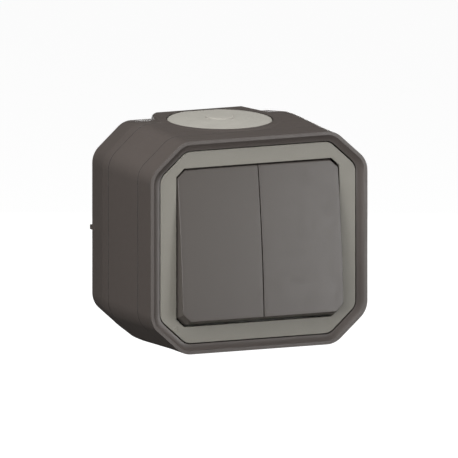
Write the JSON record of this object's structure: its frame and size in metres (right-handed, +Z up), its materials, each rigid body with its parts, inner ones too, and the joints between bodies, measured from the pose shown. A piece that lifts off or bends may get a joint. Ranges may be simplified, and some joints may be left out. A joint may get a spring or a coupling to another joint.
{
  "type": "rocker wall switch",
  "caption": "Surface-mounted weatherproof wall switch: octagonal box with side-by-side tilting rockers, light trim frame and a cable gland on top.",
  "frame": {"origin": "centre of the wall face at the back of the box", "axes": "+Y into the wall, +Z up, +X to the right seen from the front"},
  "size_m": [0.084, 0.0565, 0.0779],
  "materials": {
    "shell_plastic": "anthracite, finely grained",
    "key_plastic": "anthracite, satin",
    "frame_plastic": "light grey, satin",
    "gland_rubber": "light grey, matte",
    "seal_rubber": "black, matte",
    "zinc_steel": "zinc plated",
    "spring_steel": "bright",
    "carrier_plastic": "off-white",
    "lever_plastic": "light grey",
    "contact_brass": "stamped",
    "silver": "silver alloy",
    "release_plastic": "orange"
  },
  "bodies": {
    "housing": {"back_box": "shell_plastic", "box_body": "shell_plastic", "front_cover": "shell_plastic", "support_frame": "frame_plastic", "gland_membrane": "gland_rubber", "rear_seal": "seal_rubber", "front_seal": "seal_rubber", "wall_hole_seals": "seal_rubber", "body_screws": "zinc_steel", "mechanism_screws": "zinc_steel", "mechanism_plate": "carrier_plastic", "weather_membrane": "seal_rubber", "mechanism_housing": "carrier_plastic", "left_axle": "zinc_steel", "left_common_terminal": "contact_brass", "left_fixed_contacts": "contact_brass", "left_clamp_springs": "spring_steel", "right_axle": "zinc_steel", "right_common_terminal": "contact_brass", "right_fixed_contacts": "contact_brass", "right_clamp_springs": "spring_steel"},
    "left_rocker": {"left_rocker": "key_plastic", "left_lever": "lever_plastic"},
    "left_plunger": {"left_plunger": "lever_plastic", "left_plunger_spring": "spring_steel"},
    "left_contact": {"left_contact_rocker": "contact_brass", "left_contact_tips": "silver"},
    "left_release": {"left_release_button": "release_plastic", "left_release_spring": "spring_steel"},
    "right_rocker": {"right_rocker": "key_plastic", "right_lever": "lever_plastic"},
    "right_plunger": {"right_plunger": "lever_plastic", "right_plunger_spring": "spring_steel"},
    "right_contact": {"right_contact_rocker": "contact_brass", "right_contact_tips": "silver"},
    "right_release": {"right_release_button": "release_plastic", "right_release_spring": "spring_steel"}
  },
  "joints": [
    {"name": "left_rocker_tilt", "type": "hinge", "parent": "housing", "child": "left_rocker", "pos_m": [-0.01528, -0.0451, 0], "axis": [1, 0, 0], "range_deg": [0, 11.52]},
    {"name": "left_plunger_slide", "type": "slide", "parent": "left_rocker", "child": "left_plunger", "axis": [0, -0.995, 0.1004], "range_m": [0, 0.001], "stiffness_N_per_m": 600, "springref_m": -0.0005, "deforming": ["left_plunger_spring"]},
    {"name": "left_contact_flip", "type": "hinge", "parent": "housing", "child": "left_contact", "pos_m": [-0.01528, -0.0296, 0], "axis": [1, 0, 0], "range_deg": [-12, 0]},
    {"name": "left_release_press", "type": "slide", "parent": "housing", "child": "left_release", "axis": [0, -1, 0], "range_m": [0, 0.001], "stiffness_N_per_m": 400, "springref_m": -0.0005, "deforming": ["left_release_spring"]},
    {"name": "right_rocker_tilt", "type": "hinge", "parent": "housing", "child": "right_rocker", "pos_m": [0.01528, -0.0451, 0], "axis": [1, 0, 0], "range_deg": [0, 11.52]},
    {"name": "right_plunger_slide", "type": "slide", "parent": "right_rocker", "child": "right_plunger", "axis": [0, -0.995, 0.1004], "range_m": [0, 0.001], "stiffness_N_per_m": 600, "springref_m": -0.0005, "deforming": ["right_plunger_spring"]},
    {"name": "right_contact_flip", "type": "hinge", "parent": "housing", "child": "right_contact", "pos_m": [0.01528, -0.0296, 0], "axis": [1, 0, 0], "range_deg": [-12, 0]},
    {"name": "right_release_press", "type": "slide", "parent": "housing", "child": "right_release", "axis": [0, -1, 0], "range_m": [0, 0.001], "stiffness_N_per_m": 400, "springref_m": -0.0005, "deforming": ["right_release_spring"]}
  ],
  "couplings": [
    {"joint": "left_contact_flip", "follows": "left_rocker_tilt", "ratio": -1.0417},
    {"joint": "right_contact_flip", "follows": "right_rocker_tilt", "ratio": -1.0417}
  ]
}
